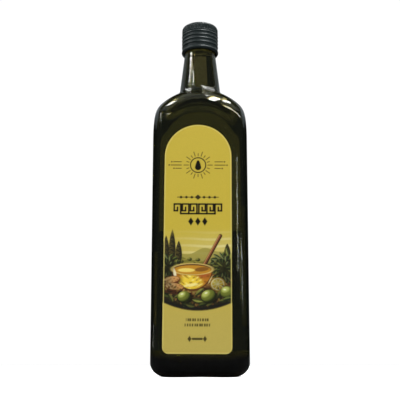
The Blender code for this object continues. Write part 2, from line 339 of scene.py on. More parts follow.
def make_oil():
    """The oil: the inner skin let a little way into the wall, with a rim that climbs the glass."""
    angles = even_angles(160)
    inset = WALL - OIL_INTO_WALL
    floor = INNER_FLOOR - OIL_INTO_WALL
    rings = inner_rings(angles, inset, floor, OIL_LEVEL + MENISCUS)
    shares = np.linspace(0.05, 1.0, 14)[:, None]
    radius = rings[0, :, 0] * np.cos(angles) + rings[0, :, 1] * np.sin(angles)
    away = radius[None, :] * (1 - shares)
    climb = MENISCUS * np.exp(-away / MENISCUS_REACH)
    surface = rings_to_points(angles, radius[None, :] * shares, OIL_LEVEL + climb)
    rings = np.concatenate([surface[:-1], rings])
    return closed_rings("oil_fill", rings[::-1], (0.0, 0.0, floor), (0.0, 0.0, OIL_LEVEL))


def bead_swell(heights):
    """Height of the rolled beads: a raised cosine round each bead's own level."""
    swell = np.zeros_like(heights)
    for bead in range(BEAD_COUNT):
        away = np.clip((heights - (BEAD_TOP - bead * BEAD_PITCH)) / BEAD_SPREAD, -1.0, 1.0)
        swell += BEAD_HEIGHT * (1.0 + np.cos(math.pi * away)) / 2
    return swell


def make_cap():
    """The cap: a turned shell with beads, whose knurl is a sharpened cosine cut into its rim."""
    count = KNURL_COUNT * POINTS_PER_GROOVE
    angles = np.arange(count) / count * 2 * math.pi
    arc = np.linspace(0.0, math.pi / 2, 8)[1:]
    skirt = CAP_RADIUS - BEAD_HEIGHT / 2
    crown = np.linspace(0.1, 1.0, 6) * (CAP_RADIUS - CAP_EDGE_ROUND)
    side = np.linspace(CAP_TOP - CAP_EDGE_ROUND, CAP_FOOT, 76)[1:]
    side_reach = skirt + bead_swell(side) + BEAD_HEIGHT / 2 * smooth_step(
        KNURL_FOOT - 0.7 * MM, KNURL_FOOT - 0.3 * MM, side)
    inner_top = CAP_TOP - CAP_TOP_THICKNESS
    slant = CAP_EDGE_ROUND - CAP_TOP_THICKNESS
    reach = np.concatenate([
        crown, CAP_RADIUS - CAP_EDGE_ROUND * (1 - np.sin(arc)), side_reach,
        [CAP_INNER_RADIUS, CAP_INNER_RADIUS, CAP_INNER_RADIUS - slant, CAP_INNER_RADIUS * 0.5]])
    height = np.concatenate([
        np.full(6, CAP_TOP), CAP_TOP - CAP_EDGE_ROUND * (1 - np.cos(arc)), side,
        [CAP_FOOT, inner_top - slant, inner_top, inner_top]])
    outer = np.arange(len(reach)) < len(reach) - 4
    window = smooth_step(KNURL_FOOT - 0.2 * MM, KNURL_FOOT + 0.4 * MM, height)
    window *= 1.0 - smooth_step(KNURL_TOP - 0.2 * MM, KNURL_TOP + 0.6 * MM, height)
    groove = (0.5 - 0.5 * np.cos(KNURL_COUNT * angles)) ** 1.6
    cut = KNURL_DEPTH * (window * outer)[:, None] * groove[None, :]
    rings = rings_to_points(angles, reach[:, None] - cut, height[:, None])
    piece = closed_rings("cap_shell", rings[::-1], (0.0, 0.0, inner_top), (0.0, 0.0, CAP_TOP))
    piece.data.set_sharp_from_angle(angle=SHARP_ANGLE)
    return piece


def make_band():
    """The tamper band: a short ring that flares and curls in under itself, an arc in section.

    Narrow notches round its upper edge are raised to a peak by a clipped cosine.
    """
    angles = np.arange(BAND_POINTS) / BAND_POINTS * 2 * math.pi
    outer = CAP_RADIUS - BEAD_HEIGHT / 2
    centre_reach = outer + BAND_FLARE - BAND_CURL
    centre_height = BAND_FOOT + BAND_CURL
    down = np.linspace(0.0, 1.0, 12)
    straight = np.linspace(BAND_TOP, centre_height, 12)[:-1]
    flare = BAND_FLARE * smooth_step(BAND_TOP - BAND_STRAIGHT, centre_height, straight)
    turn = BAND_CURL_TURN * down
    inside = turn[::-2]
    inner_curl = BAND_CURL - BAND_THICKNESS
    reach = np.concatenate([
        outer + flare, centre_reach + BAND_CURL * np.cos(turn), centre_reach + inner_curl * np.cos(inside),
        [CAP_INNER_RADIUS, CAP_INNER_RADIUS]])
    height = np.concatenate([
        straight, centre_height - BAND_CURL * np.sin(turn), centre_height - inner_curl * np.sin(inside),
        [BAND_TOP - BAND_STRAIGHT, BAND_TOP]])
    notch = BAND_NOTCH_DEPTH * smooth_step(0.9, 0.97, np.cos(BAND_NOTCHES * angles))
    weight = smooth_step(BAND_TOP - 1.0 * MM, BAND_TOP - 0.4 * MM, height)
    weight[-2:] = 0.0
    rings = rings_to_points(angles, reach[:, None] - weight[:, None] * notch[None, :], height[:, None])
    piece = wrapped_rings("band_ring", rings[::-1])
    piece.data.set_sharp_from_angle(angle=SHARP_ANGLE)
    return piece


# Label print, drawn in millimetres across (u) and up (v) the label

LABEL_YELLOW = srgb(201, 177, 57)
# The ground at the label's foot: partly the paper's own tone, partly painted shade for light that falls
# from above
LABEL_YELLOW_LOW_SHADED = srgb(192, 172, 84)
EDGE_YELLOW = srgb(220, 204, 112)
DARK_INK = srgb(16, 11, 2)
PAPER_BACK = srgb(214, 206, 188)
GROVE = (srgb(34, 34, 14), srgb(76, 76, 28), srgb(148, 142, 58))
LIME = (srgb(30, 34, 12), srgb(106, 114, 36), srgb(190, 196, 98))
HERB = (
    (srgb(96, 108, 46), srgb(34, 44, 22)), (srgb(142, 144, 62), srgb(58, 66, 30)),
    (srgb(66, 78, 36), srgb(22, 28, 16)), (srgb(120, 126, 70), srgb(44, 56, 34)))
SPICE = (srgb(196, 148, 70), srgb(112, 52, 28), srgb(150, 104, 44), srgb(84, 70, 30))
PICTURE_LOW = 50.0
PICTURE_SIDE_RISE = 6.3
PICTURE_FADE = (106.0, 118.0)
SOFTNESS = 0.4
GOLDEN_TURN = 2.39996


class Print:
    """A colour for every point of the label, painted over by one mask after another.

    Whatever is painted keeps to the window, a mask of its own.
    """

    def __init__(self, across, up):
        self.u = across
        self.v = up
        self.window = 1.0
        # The ground darkens towards the foot: partly the print's own tone, partly painted shade for light
        # from above
        share = smooth_step(20.0, 120.0, up)[..., None]
        self.colour = LABEL_YELLOW_LOW_SHADED * (1 - share) + LABEL_YELLOW * share

    def paint(self, ink, mask):
        """Lays an ink over what is there, as strongly as the mask says."""
        mask = np.clip(mask * self.window, 0.0, 1.0)[..., None]
        self.colour = self.colour * (1 - mask) + np.asarray(ink) * mask

    def fill(self, ink, distance, strength=1.0):
        """Lays an ink where a signed distance is under zero, with a soft edge."""
        self.paint(ink, strength * self.inside(distance))

    def shade(self, ink, distance, strength, outer=1.0, inner=-1.0):
        """Lays an ink softly: none at the outer distance, its whole strength at the inner."""
        self.paint(ink, strength * smooth_step(outer, inner, distance))

    def turned(self, centre, turn):
        """The plane's points as seen from a centre, turned back by an angle in degrees."""
        du = self.u - centre[0]
        dv = self.v - centre[1]
        cosine = math.cos(math.radians(turn))
        sine = math.sin(math.radians(turn))
        return du * cosine + dv * sine, dv * cosine - du * sine

    def ellipse(self, centre, radii, turn=0.0):
        """Signed distance to an ellipse: its scaled radius less one, times its smaller radius."""
        du, dv = self.turned(centre, turn)
        return (np.hypot(du / radii[0], dv / radii[1]) - 1.0) * min(radii)

    def line(self, start, end, half):
        """Signed distance to a straight stroke with round ends."""
        du = end[0] - start[0]
        dv = end[1] - start[1]
        share = ((self.u - start[0]) * du + (self.v - start[1]) * dv) / (du * du + dv * dv)
        share = np.clip(share, 0.0, 1.0)
        return np.hypot(self.u - start[0] - share * du, self.v - start[1] - share * dv) - half

    def leaf(self, base, length, width, turn):
        """Signed distance to a pointed leaf, whose half width is a half sine along it."""
        along, across = self.turned(base, turn)
        share = np.clip(along / length, 0.0, 1.0)
        outside = np.maximum(np.abs(along - length / 2) - length / 2, 0.0)
        return np.abs(across) - width / 2 * np.sin(math.pi * share) ** 0.8 + outside

    def lozenge(self, centre, half_width, half_height):
        """Signed distance to an upright diamond."""
        spread = np.abs(self.u - centre[0]) / half_width + np.abs(self.v - centre[1]) / half_height
        return (spread - 1.0) * min(half_width, half_height) * 0.7

    def inside(self, distance):
        """A mask of 1 where a signed distance is under zero, with a soft edge."""
        return np.clip(0.5 - distance / SOFTNESS, 0.0, 1.0)


def around(centre, angle, across, up):
    """The point at an angle on an upright ellipse round a centre."""
    return centre[0] + across * math.cos(angle), centre[1] + up * math.sin(angle)


def draw_crest(art):
    """The crest at the top: a drop in a ring, with short rays and three rules at each side."""
    middle = (0.0, 163.5)
    art.fill(DARK_INK, np.abs(art.ellipse(middle, (6.0, 6.0))) - 0.42)
    drop_width = 2.5 * np.sqrt(np.clip((167.6 - art.v) / 6.0, 0.0, 1.0))
    drop = np.where(art.v < 162.0, art.ellipse((0.0, 161.8), (2.5, 2.5)), np.abs(art.u) - drop_width * 0.98)
    drop = np.where(art.v > 167.4, 1.0, drop)
    art.fill(DARK_INK, drop)
    for index in range(20):
        angle = 2 * math.pi * index / 20
        outer = 9.4 if index % 2 else 11.2
        ray = art.line(around(middle, angle, 7.6, 7.6), around(middle, angle, outer, outer), 0.3)
        art.fill(DARK_INK, ray, 0.9)
    for side in (-1, 1):
        for level, reach in ((166.2, 19.4), (163.5, 21.4), (160.8, 17.6)):
            art.fill(DARK_INK, art.line((side * 13.2, level), (side * reach, level), 0.32), 0.9)
            art.fill(DARK_INK, art.ellipse((side * (reach + 1.4), level), (0.6, 0.6)), 0.9)


def draw_rule(art, level, reach, ink):
    """A rule with a diamond in its middle and beads towards its ends."""
    for side in (-1, 1):
        art.fill(ink, art.line((side * 3.2, level), (side * reach, level), 0.3), 0.9)
        for bead in range(3):
            art.fill(ink, art.ellipse((side * (4.8 + 4.2 * bead), level), (1.05, 1.05)), 0.9)
    art.fill(ink, art.lozenge((0.0, level), 2.6, 2.1), 0.95)


def draw_key_band(art, low, pairs, unit, height):
    """A bold meander: one hooked stroke, repeated outwards from the middle to both sides."""
    stroke = 0.66
    hook = [(0.0, 0.0), (0.0, 1.0), (0.8, 1.0), (0.8, 0.3), (0.4, 0.3), (0.4, 0.66)]
    for side in (-1, 1):
        for index in range(pairs):
            start = unit * (index + 0.12)
            corners = [(side * (start + unit * across), low + height * up) for across, up in hook]
            for first, second in zip(corners, corners[1:]):
                art.fill(DARK_INK, art.line(first, second, stroke))
    end = unit * (pairs - 0.88)
    art.fill(DARK_INK, art.line((-end, low), (end, low), stroke))


def draw_small_lines(art):
    """Below the picture: two lines of fine dashes and a short rule between diamonds."""
    for level, reach, phase in ((42.6, 8.6, 0.0), (38.7, 9.6, 1.3)):
        dashes = np.sin(art.u * 3.4 + phase) + 0.45 * np.sin(art.u * 1.9 + 2 * phase)
        broken = smooth_step(-0.65, -0.35, dashes)
        body = np.maximum(np.abs(art.v - level) - 1.05, np.abs(art.u) - reach)
        art.fill(DARK_INK, body, 0.78 * broken)
    art.fill(DARK_INK, art.line((-3.4, 28.4), (3.4, 28.4), 0.8), 0.9)
    for side in (-1, 1):
        art.fill(DARK_INK, art.lozenge((side * 5.8, 28.4), 1.5, 2.3), 0.9)


def draw_leaf(art, base, length, width, turn, light, deep):
    """A leaf with one half darker than the other, split along its midrib."""
    leaf = art.inside(art.leaf(base, length, width, turn))
    art.paint(deep, leaf)
    across = art.turned(base, turn)[1]
    art.paint(light, leaf * smooth_step(-0.1, 0.25, across))


def draw_bush(art, centre, radii, count, length, inks):
    """Foliage: leaves at a sunflower's even spread over a dark oval, each pointing outwards."""
    art.shade(srgb(26, 26, 14), art.ellipse(centre, radii), 0.85, 1.0, -2.0)
    for index in range(count):
        share = math.sqrt((index + 0.5) / count)
        angle = GOLDEN_TURN * index
        base = around(centre, angle, radii[0] * share, radii[1] * share)
        turn = math.degrees(angle) + 40.0 * math.sin(3.1 * index)
        own_length = length * (0.8 + 0.3 * math.sin(1.7 * index))
        draw_leaf(art, base, own_length, length * 0.34, turn, *inks[index % len(inks)])


def draw_landscape(art):
    """The picture's distance: pale sky with bright streaks, two hills, groves and tall trees."""
    haze = smooth_step(118.0, 88.0, art.v)
    side = smooth_step(-26.0, 20.0, art.u)
    art.paint(srgb(212, 196, 112), haze * (0.35 + 0.55 * side))
    streak = smooth_step(0.1, 0.9, np.sin(art.v * 1.15 + 0.5 * np.sin(art.u * 0.16) + 0.8))
    art.paint(srgb(232, 222, 158), haze * streak * (0.2 + 0.6 * side))
    far = 94.0 + 2.6 * np.sin(art.u * 0.12 + 0.6) + 1.0 * np.sin(art.u * 0.33)
    art.fill(srgb(160, 148, 66), art.v - far, 0.92)
    near = 88.5 + 2.4 * np.sin(art.u * 0.1 + 3.6) + 0.7 * np.sin(art.u * 0.41 + 1.0)
    art.fill(srgb(118, 112, 40), art.v - near, 0.95)
    rows = smooth_step(0.0, 0.8, np.sin(art.v * 1.9 - 0.09 * art.u * (art.v - 70.0) * 0.2))
    art.fill(srgb(168, 154, 62), art.v - near, 0.55 * rows)
    for row in range(3):
        for column in range(9):
            u = -25.0 + column * 6.3 + 2.7 * (row % 2)
            v = 88.0 - 4.2 * row + 1.1 * math.sin(2.3 * column + row)
            size = 1.35 + 0.45 * row
            draw_ball(art, (u, v), (size * 1.35, size), 0.0, GROVE)
    for u, v, tall in ((-24.4, 82.0, 25.0), (-19.6, 81.0, 31.0), (-14.6, 82.0, 21.0), (22.8, 84.0, 17.0)):
        tree = art.inside(art.leaf((u, v), tall, 5.2, 90.0))
        fleck = np.sin(art.v * 2.7 + 3.0 * np.sin(art.u * 1.9 + u)) * np.sin(art.u * 3.1 + art.v * 0.8)
        lit = smooth_step(0.0, 0.8, fleck) * smooth_step(u + 2.2, u - 1.6, art.u)
        art.paint(srgb(40, 36, 20), tree)
        art.paint(srgb(112, 98, 40), tree * lit)


def draw_table(art):
    """The picture's table: boards with a wavy grain and cracks, darker towards the front."""
    top = 77.0 + 0.02 * art.u
    grain = 0.5 + 0.5 * np.sin(art.v * 2.9 + 1.9 * np.sin(art.u * 0.21) + 0.8 * np.sin(art.u * 0.9))
    speck = 0.5 + 0.5 * np.sin(art.u * 2.3 + 2.0 * np.sin(art.v * 1.7)) * np.sin(art.v * 3.3 + art.u * 0.7)
    art.fill(srgb(112, 70, 32), art.v - top)
    art.fill(srgb(186, 136, 64), art.v - top, 0.75 * grain * (0.5 + 0.5 * speck))
    for level, lean in ((72.5, 0.01), (66.5, 0.03), (60.0, -0.02)):
        art.fill(srgb(44, 26, 16), np.abs(art.v - level - lean * art.u) - 0.35, 0.8)
    art.paint(srgb(26, 30, 24), 0.9 * smooth_step(66.0, 54.5, art.v - 0.012 * art.u ** 2))


def draw_ball(art, centre, radii, turn, inks):
    """A round thing lit from its upper left: inks from deep over mid to light by its slope."""
    du, dv = art.turned(centre, turn)
    du = du / radii[0]
    dv = dv / radii[1]
    rise = np.sqrt(np.maximum(1.0 - du * du - dv * dv, 0.0))
    lit = -0.42 * du + 0.55 * dv + 0.72 * rise
    deep, mid, light = inks
    first = smooth_step(-0.1, 0.62, lit)[..., None]
    second = smooth_step(0.66, 1.0, lit)[..., None]
    colour = (deep * (1 - first) + mid * first) * (1 - second) + light * second
    art.paint(colour, art.inside(art.ellipse(centre, radii, turn)))


def draw_fruit(art, centre, radii, turn, inks):
    """A lime: a soft shadow under it, its lit body and a small glint."""
    shadow = art.ellipse((centre[0] + 0.9, centre[1] - 1.2), (radii[0] * 1.12, radii[1] * 1.05), turn)
    art.shade(srgb(16, 16, 10), shadow, 0.8, 1.2, -0.8)
    draw_ball(art, centre, radii, turn, inks)
    glint = art.ellipse((centre[0] - radii[0] * 0.36, centre[1] + radii[1] * 0.48), (1.1, 0.55), turn)
    art.fill(srgb(232, 234, 196), glint, 0.85)


def draw_bowl(art):
    """A wide clear bowl of golden oil with lit swirls, and a wooden ladle leaning out of it."""
    art.shade(srgb(22, 14, 8), art.ellipse((-1.5, 64.2), (15.5, 3.0)), 0.85, 1.5, -1.5)
    for ink, start, end, half, strength in (
            (srgb(58, 28, 16), (3.0, 80.0), (17.5, 107.0), 1.45, 1.0),
            (srgb(134, 76, 40), (2.6, 80.2), (17.1, 107.2), 0.85, 1.0),
            (srgb(204, 146, 88), (2.2, 80.4), (16.7, 107.4), 0.3, 0.9)):
        art.fill(ink, art.line(start, end, half), strength)
    mouth = (-4.0, 81.0)
    body = np.where(art.v < mouth[1], art.ellipse(mouth, (15.8, 16.4)), 1.0)
    art.fill(srgb(108, 74, 26), art.ellipse((-4.0, 65.4), (7.8, 2.1)))
    art.fill(srgb(214, 182, 92), np.abs(art.ellipse((-4.0, 65.0), (7.2, 1.6))) - 0.25, 0.8)
    art.fill(srgb(92, 52, 18), body)
    inner = np.where(art.v < mouth[1], art.ellipse(mouth, (14.7, 15.2)), 1.0)
    art.fill(srgb(186, 120, 26), inner)
    glow = np.clip(1.0 - np.hypot((art.u + 5.5) / 12.0, (art.v - 71.0) / 8.0), 0.0, 1.0)
    art.fill(srgb(240, 206, 58), inner, smooth_step(0.0, 0.6, glow))
    warm = np.clip(1.0 - np.hypot((art.u - 4.5) / 9.0, (art.v - 78.0) / 6.5), 0.0, 1.0)
    art.fill(srgb(170, 82, 34), inner, 0.9 * smooth_step(0.0, 0.8, warm))
    bend = np.hypot(art.u + 4.0, 1.3 * (art.v - 84.0))
    swirl = np.sin(bend * 1.5 + 2.6 * np.sin(art.u * 0.37 + 0.5))
    swirl = swirl + 0.7 * np.sin(art.u * 1.1 + 2.2 * np.sin(art.v * 0.6))
    lit = smooth_step(0.7, 1.4, swirl) * smooth_step(0.0, 0.4, glow)
    art.fill(srgb(252, 236, 132), inner, 0.7 * lit)
    art.fill(srgb(126, 70, 18), inner, 0.6 * smooth_step(-0.7, -1.4, swirl))
    art.fill(srgb(84, 48, 20), art.ellipse(mouth, (16.1, 4.7)))
    art.fill(srgb(226, 196, 108), np.abs(art.ellipse(mouth, (15.6, 4.3))) - 0.3, 0.95)
    art.fill(srgb(196, 138, 34), art.ellipse((-4.0, 80.5), (14.3, 3.5)))
    art.fill(srgb(104, 60, 20), art.ellipse((3.2, 80.9), (5.4, 1.7), 6.0), 0.75)
    art.fill(srgb(246, 222, 110), art.ellipse((-8.6, 80.2), (6.4, 1.5)), 0.9)
    art.fill(srgb(240, 232, 188), art.leaf((-16.6, 73.4), 8.6, 2.1, 101.0), 0.9)
    art.fill(srgb(236, 214, 140), art.leaf((8.0, 69.6), 7.4, 1.0, 62.0), 0.7)
    art.fill(srgb(250, 234, 150), art.ellipse((-4.8, 68.8), (5.4, 1.1), 8.0), 0.8)


def draw_bread(art, centre, turn):
    """A slice of bread: dark crust, lit crumb and small holes."""
    u, v = centre
    art.shade(srgb(24, 14, 8), art.ellipse((u + 0.8, v - 1.3), (7.6, 3.4), turn), 0.8)
    art.fill(srgb(104, 54, 24), art.ellipse(centre, (7.4, 3.4), turn))
    crumb = art.ellipse((u, v + 0.5), (6.6, 2.4), turn)
    art.fill(srgb(206, 150, 82), crumb)
    art.fill(srgb(238, 200, 134), crumb, 0.9 * smooth_step(u + 4.0, u - 5.0, art.u))
    for hole in range(9):
        spot = (u - 5.2 + 1.3 * hole, v + 0.5 + 1.1 * math.sin(2.6 * hole + u))
        art.fill(srgb(150, 94, 46), art.ellipse(spot, (0.7, 0.45), turn), 0.8)


def draw_lemon(art, centre):
    """Half a lemon, cut face forward: rind, pith, lit flesh and the walls between its segments."""
    u, v = centre
    art.shade(srgb(18, 16, 8), art.ellipse((u + 1.0, v - 1.4), (6.0, 5.4)), 0.8)
    art.fill(srgb(186, 142, 24), art.ellipse(centre, (5.8, 5.4)))
    flesh = (u - 0.2, v + 0.2)
    art.fill(srgb(240, 230, 168), art.ellipse(flesh, (5.0, 4.6)))
    art.fill(srgb(220, 186, 54), art.ellipse(flesh, (4.3, 3.9)))
    art.fill(srgb(242, 222, 104), art.ellipse((u - 1.2, v + 1.2), (2.4, 2.0)), 0.8)
    for index in range(4):
        angle = math.pi * index / 4 + 0.3
        wall = art.line(around(flesh, angle, -4.1, -3.8), around(flesh, angle, 4.1, 3.8), 0.2)
        art.fill(srgb(244, 236, 180), wall, 0.9)


def draw_food(art):
    """What lies round the bowl: herbs and bread at the left, half a lemon, limes and spice.

    All but the limes lies in shade, which grows with the distance from the bowl's middle.
    """
    draw_bush(art, (20.5, 82.0), (8.5, 10.0), 46, 6.4, HERB)
    draw_bush(art, (-22.5, 82.0), (7.5, 9.0), 36, 5.6, HERB)
    draw_bowl(art)
    draw_bread(art, (-20.5, 72.2), 12.0)
    draw_bread(art, (-17.6, 67.2), -6.0)
    draw_lemon(art, (15.6, 69.4))
    for index in range(110):
        spot = (-26.0 + 0.48 * index, 57.6 + 5.2 * math.sin(2.4 * index) + 0.0035 * (index - 55) ** 2)
        art.fill(SPICE[index % 4], art.ellipse(spot, (1.1, 0.65), 30.0 * index), 0.85)
    for base, length, turn in (
            ((-20.0, 60.0), 8.0, 160.0), ((-18.0, 59.0), 9.0, 20.0), ((-14.0, 57.5), 9.0, -24.0),
            ((-2.0, 60.5), 9.0, 40.0), ((-3.0, 57.0), 9.5, -12.0), ((-5.0, 56.0), 7.0, 210.0),
            ((14.5, 58.0), 9.0, 62.0), ((16.0, 56.5), 9.5, 8.0), ((12.0, 56.0), 7.5, 196.0),
            ((-12.0, 54.5), 8.0, -14.0), ((0.5, 53.0), 8.0, 16.0), ((-2.0, 52.6), 7.0, 166.0),
            ((21.0, 58.0), 7.0, -30.0), ((-22.0, 62.0), 7.0, -60.0)):
        draw_leaf(art, base, length, 3.2, turn, *HERB[int(length) % 2])
    beside = np.hypot((art.u + 4.0) / 15.0, (art.v - 76.0) / 12.0)
    art.paint(srgb(24, 22, 8), 0.58 * smooth_step(0.85, 1.3, beside) * smooth_step(91.0, 82.0, art.v))
    draw_fruit(art, (-10.0, 60.0), (5.0, 4.2), 8.0, LIME)
    draw_fruit(art, (22.6, 63.2), (5.2, 4.7), -10.0, LIME)
    draw_fruit(art, (8.6, 60.6), (5.8, 4.7), 12.0, LIME)
    draw_leaf(art, (4.0, 56.6), 8.0, 2.8, 170.0, *HERB[1])
    draw_leaf(art, (19.0, 57.6), 8.0, 2.8, 14.0, *HERB[0])


def label_colours(across, up):
    """The whole print: ground, picture, crest, bands, small lines and the paler edge."""
    art = Print(across, up)
    foot_line = PICTURE_LOW + PICTURE_SIDE_RISE * (across / 26.5) ** 2
    art.window = art.inside(foot_line - up) * (1.0 - smooth_step(*PICTURE_FADE, up))
    draw_landscape(art)
    draw_table(art)
    draw_food(art)
    art.paint(srgb(18, 22, 22), 0.8 * smooth_step(4.0, 0.5, up - foot_line))
    art.window = 1.0
    art.fill(srgb(52, 42, 22), np.abs(up - foot_line + 0.35) - 0.3)
    draw_crest(art)
    draw_rule(art, 137.5, 16.0, DARK_INK)
    draw_key_band(art, 124.4, 3, 6.3, 7.6)
    for centre in (-5.4, 0.0, 5.4):
        art.fill(DARK_INK, art.lozenge((centre, 118.2), 2.1, 3.3))
    draw_small_lines(art)
    half = LABEL_HALF / MM
    arch = LABEL_TOP / MM - half
    side = np.where(up > arch, half - np.hypot(across, up - arch), half - np.abs(across))
    edge = np.minimum(side, up - LABEL_FOOT / MM)
    art.paint(EDGE_YELLOW, 0.75 * smooth_step(0.15, 0.4, edge) * (1 - smooth_step(0.75, 1.1, edge)))
    return art.colour


def make_label():
    """The label: a sheet whose rows follow its arched outline, printed by a colour attribute.

    Each row reaches across by the outline's half width at its height, a circle's chord in the
    arch and in the rounded foot corners. The whole sheet leans by the label's turn.
    """
    columns = 150
    side_rows = 410
    arch = LABEL_TOP - LABEL_HALF
    corner = np.linspace(0.0, math.pi / 2, 12)
    round_top = np.linspace(0.0, math.radians(89.0), 100)[1:]
    up = np.concatenate([
        LABEL_FOOT + LABEL_CORNER * (1 - np.cos(corner)),
        np.linspace(LABEL_FOOT + LABEL_CORNER, arch, side_rows)[1:], arch + LABEL_HALF * np.sin(round_top)])
    half = np.concatenate([
        LABEL_HALF - LABEL_CORNER * (1 - np.sin(corner)), np.full(side_rows - 1, LABEL_HALF),
        LABEL_HALF * np.cos(round_top)])
    across = np.linspace(-1.0, 1.0, columns)[None, :] * half[:, None]
    rise = np.broadcast_to(up[:, None], across.shape)
    x = LABEL_SHIFT + across * math.cos(LABEL_TURN) + rise * math.sin(LABEL_TURN)
    z = rise * math.cos(LABEL_TURN) - across * math.sin(LABEL_TURN)
    front = np.stack([x, np.full_like(x, -LABEL_FRONT), z], axis=-1)
    rows = len(up)
    index = np.arange(rows * columns).reshape(rows, columns)
    quads = np.stack([index[:-1, :-1], index[:-1, 1:], index[1:, 1:], index[1:, :-1]], axis=-1)
    loop = np.concatenate([index[0, :-1], index[:-1, -1], index[-1, :0:-1], index[:0:-1, 0]])
    back = front.reshape(-1, 3)[loop].copy()
    back[:, 1] = -LABEL_BACK
    behind = rows * columns + np.arange(len(loop))
    rim = np.stack([loop, behind, np.roll(behind, -1), np.roll(loop, -1)], axis=-1)
    faces = quads.reshape(-1, 4).tolist() + rim.tolist() + [behind[::-1].tolist()]
    piece = new_piece("label_sheet", np.concatenate([front.reshape(-1, 3), back]), faces, smooth=False)
    ink = label_colours(across / MM, rise / MM).reshape(-1, 3)
    colours = np.concatenate([ink, np.tile(PAPER_BACK, (len(loop), 1))])
    colours = np.concatenate([colours, np.ones((len(colours), 1))], axis=1)
    attribute = piece.data.attributes.new("print", "FLOAT_COLOR", "POINT")
    attribute.data.foreach_set("color", colours.astype(np.float32).ravel())
    return piece


# Materials

RIPPLE_HEIGHT = 0.2 * MM


def new_group(name, inputs, outputs):
    """An empty shader group with named sockets, and its own input and output nodes."""
    group = bpy.data.node_groups.new(name, "ShaderNodeTree")
    for label, kind, value in inputs:
        socket = group.interface.new_socket(label, in_out="INPUT", socket_type=kind)
        if value is not None:
            socket.default_value = value
    for label, kind in outputs:
        group.interface.new_socket(label, in_out="OUTPUT", socket_type=kind)
    return group, group.nodes.new("NodeGroupInput"), group.nodes.new("NodeGroupOutput")


def set_sockets(tree, node, sockets):
    """Fills a node's inputs: an output of another node is linked, anything else is a value."""
    for label, value in sockets.items():
        if isinstance(value, bpy.types.NodeSocket):
            tree.links.new(value, node.inputs[label])
        else:
            node.inputs[label].default_value = value


def new_node(tree, kind, sockets):
    """A shader node with its inputs filled."""
    node = tree.nodes.new("ShaderNode" + kind)
    set_sockets(tree, node, sockets)
    return node


def noise_node(tree, scale, detail, source):
    """A noise texture on the given coordinates."""
    return new_node(tree, "TexNoise", {"Scale": scale, "Detail": detail, "Vector": source}).outputs["Fac"]


def range_node(tree, source, from_low, from_high, to_low, to_high):
    """Maps a value from one range onto another, held at both ends."""
    return new_node(tree, "MapRange", {
        "From Min": from_low, "From Max": from_high, "To Min": to_low, "To Max": to_high,
        "Value": source}).outputs["Result"]


def colour_mix(tree, factor, first, second):
    """Goes from one plain colour to another as the factor goes from 0 to 1."""
    node = tree.nodes.new("ShaderNodeMix")
    node.data_type = "RGBA"
    set_sockets(tree, node, {"Factor": factor, "A": (*first, 1.0), "B": (*second, 1.0)})
    return node.outputs["Result"]


def handled_group():
    """Handling marks: broad smudges broken up by a finer noise, as a mask from 0 to 1."""
    group, entry, result = new_group(
        "handled", [("Vector", "NodeSocketVector", None)], [("Mask", "NodeSocketFloat")])
    broad = noise_node(group, 45.0, 3.0, entry.outputs["Vector"])
    fine = noise_node(group, 420.0, 2.0, entry.outputs["Vector"])
    patches = range_node(group, broad, 0.48, 0.72, 0.0, 1.0)
    specks = range_node(group, fine, 0.35, 0.7, 0.3, 1.0)
    product = new_node(group, "Math", {0: patches, 1: specks})
    product.operation = "MULTIPLY"
    group.links.new(product.outputs["Value"], result.inputs["Mask"])
    return group


def ripple_group():
    """A gentle unevenness of a moulded or rolled surface, as a normal."""
    group, entry, result = new_group(
        "ripple",
        [("Vector", "NodeSocketVector", None), ("Scale", "NodeSocketFloat", 60.0),
         ("Strength", "NodeSocketFloat", 0.1)],
        [("Normal", "NodeSocketVector")])
    waves = noise_node(group, entry.outputs["Scale"], 1.0, entry.outputs["Vector"])
    bump = new_node(group, "Bump", {
        "Distance": RIPPLE_HEIGHT, "Strength": entry.outputs["Strength"], "Height": waves})
    group.links.new(bump.outputs["Normal"], result.inputs["Normal"])
    return group


HANDLED = handled_group()
RIPPLE = ripple_group()


def new_material(name, base, roughness, plain):
    """A Principled material with plain socket values, and its object coordinates."""
    material = bpy.data.materials.new(name)
    material.use_nodes = True
    tree = material.node_tree
    shader = tree.nodes["Principled BSDF"]
    set_sockets(tree, shader, {"Base Color": (*base, 1.0), "Roughness": roughness, **plain})
    place = tree.nodes.new("ShaderNodeTexCoord").outputs["Object"]
    return material, tree, shader, place


def placed(tree, group, sockets):
    """A shader group placed in a material with its own values."""
    node = tree.nodes.new("ShaderNodeGroup")
    node.node_tree = group
    set_sockets(tree, node, sockets)
    return node


def add_handling(tree, shader, place, clean, worn):
    """Roughness that goes from clean to worn in the handling marks."""
    handled = placed(tree, HANDLED, {"Vector": place})
    rough = range_node(tree, handled.outputs["Mask"], 0.0, 1.0, clean, worn)
    tree.links.new(rough, shader.inputs["Roughness"])


def add_ripple(tree, shader, place, scale, strength):
    """Lets the ripple bend the surface's normal."""
    ripple = placed(tree, RIPPLE, {"Vector": place, "Scale": scale, "Strength": strength})
    tree.links.new(ripple.outputs["Normal"], shader.inputs["Normal"])


def add_absorption(tree, through, length):
    """Colours what passes through a solid: through holds the shares that a length lets pass.

    The density is set by the colour taken most, a little over it so that no colour is all taken.
    """
    taken = -np.log(np.asarray(through)) / length
    density = float(taken.max()) * 1.02
    node = new_node(
        tree, "VolumeAbsorption", {"Color": (*(1.0 - taken / density), 1.0), "Density": density})
    tree.links.new(node.outputs["Volume"], tree.nodes["Material Output"].inputs["Volume"])


def glass_material():
    """Dark olive green bottle glass: clear, slightly uneven, with faint handling marks."""
    material, tree, shader, place = new_material(
        "olive_glass", (0.92, 0.95, 0.88), 0.02, {"Transmission Weight": 1.0, "IOR": 1.5})
    add_handling(tree, shader, place, 0.0, 0.01)
    add_ripple(tree, shader, place, 38.0, 0.04)
    add_absorption(tree, GLASS_THROUGH, 2 * WALL)
    return material


